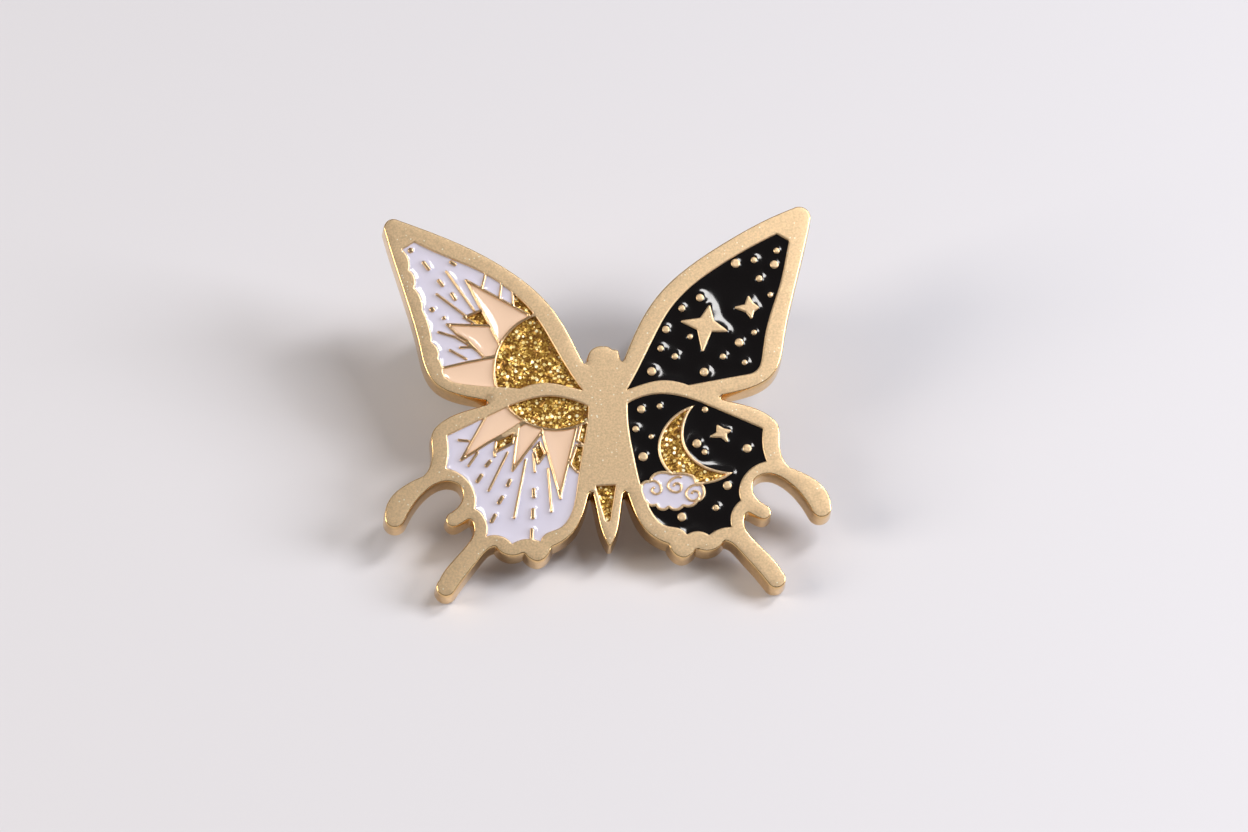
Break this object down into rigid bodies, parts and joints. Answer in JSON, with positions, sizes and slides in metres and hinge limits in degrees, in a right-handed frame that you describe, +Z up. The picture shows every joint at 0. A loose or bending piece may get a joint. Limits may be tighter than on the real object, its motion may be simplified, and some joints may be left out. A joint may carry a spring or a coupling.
{
  "type": "enamel pin",
  "caption": "Butterfly-shaped cast lapel pin with recessed glitter and coloured enamel, raised metal lines, pointed posts and sprung butterfly clutches.",
  "frame": {"origin": "middle of the footprint, on the surface the pin leans on", "axes": "+X to the viewer's right, +Y towards the head along the table, +Z up; the face leans back 21.5 degrees from horizontal, tails down"},
  "size_m": [0.038, 0.0325, 0.0148],
  "materials": {
    "champagne_gold": "fine satin with a light sparkle",
    "amber_glitter": "clear amber resin full of gold flakes",
    "peach_enamel": "gloss",
    "white_enamel": "gloss",
    "black_enamel": "gloss",
    "plated_steel": "bright gold plating"
  },
  "bodies": {
    "pin": {"butterfly_plate": "champagne_gold", "glitter_sun_forewing": "amber_glitter", "glitter_sun_hindwing": "amber_glitter", "peach_rays_forewing": "peach_enamel", "peach_rays_hindwing": "peach_enamel", "glitter_panes_forewing": "amber_glitter", "glitter_panes_hindwing": "amber_glitter", "white_enamel_forewing": "white_enamel", "white_enamel_hindwing": "white_enamel", "black_enamel_forewing": "black_enamel", "black_enamel_hindwing": "black_enamel", "glitter_moon": "amber_glitter", "white_cloud": "white_enamel", "glitter_abdomen": "amber_glitter", "post_left": "plated_steel", "post_right": "plated_steel"},
    "clutch_left": {"clutch_cap_left": "plated_steel"},
    "jaw_outer_left": {"clutch_jaw_outer_left": "plated_steel"},
    "jaw_inner_left": {"clutch_jaw_inner_left": "plated_steel"},
    "clutch_right": {"clutch_cap_right": "plated_steel"},
    "jaw_outer_right": {"clutch_jaw_outer_right": "plated_steel"},
    "jaw_inner_right": {"clutch_jaw_inner_right": "plated_steel"}
  },
  "joints": [
    {"name": "clutch_left_slide", "type": "slide", "parent": "pin", "child": "clutch_left", "axis": [0, 0.3665, -0.9304], "range_m": [-0.0032, 0.0035]},
    {"name": "jaw_outer_left_hinge", "type": "hinge", "parent": "clutch_left", "child": "jaw_outer_left", "pos_m": [-0.0136, 0.00964, 0.00372], "axis": [0, -0.9304, -0.3665], "range_deg": [0, 8], "stiffness_Nm_per_rad": 0.01, "springref_deg": -8.59},
    {"name": "jaw_inner_left_hinge", "type": "hinge", "parent": "clutch_left", "child": "jaw_inner_left", "pos_m": [-0.006, 0.00964, 0.00372], "axis": [0, 0.9304, 0.3665], "range_deg": [0, 8], "stiffness_Nm_per_rad": 0.01, "springref_deg": -8.59},
    {"name": "clutch_right_slide", "type": "slide", "parent": "pin", "child": "clutch_right", "axis": [0, 0.3665, -0.9304], "range_m": [-0.0032, 0.0035]},
    {"name": "jaw_outer_right_hinge", "type": "hinge", "parent": "clutch_right", "child": "jaw_outer_right", "pos_m": [0.0136, 0.00964, 0.00372], "axis": [0, 0.9304, 0.3665], "range_deg": [0, 8], "stiffness_Nm_per_rad": 0.01, "springref_deg": -8.59},
    {"name": "jaw_inner_right_hinge", "type": "hinge", "parent": "clutch_right", "child": "jaw_inner_right", "pos_m": [0.006, 0.00964, 0.00372], "axis": [0, -0.9304, -0.3665], "range_deg": [0, 8], "stiffness_Nm_per_rad": 0.01, "springref_deg": -8.59}
  ]
}
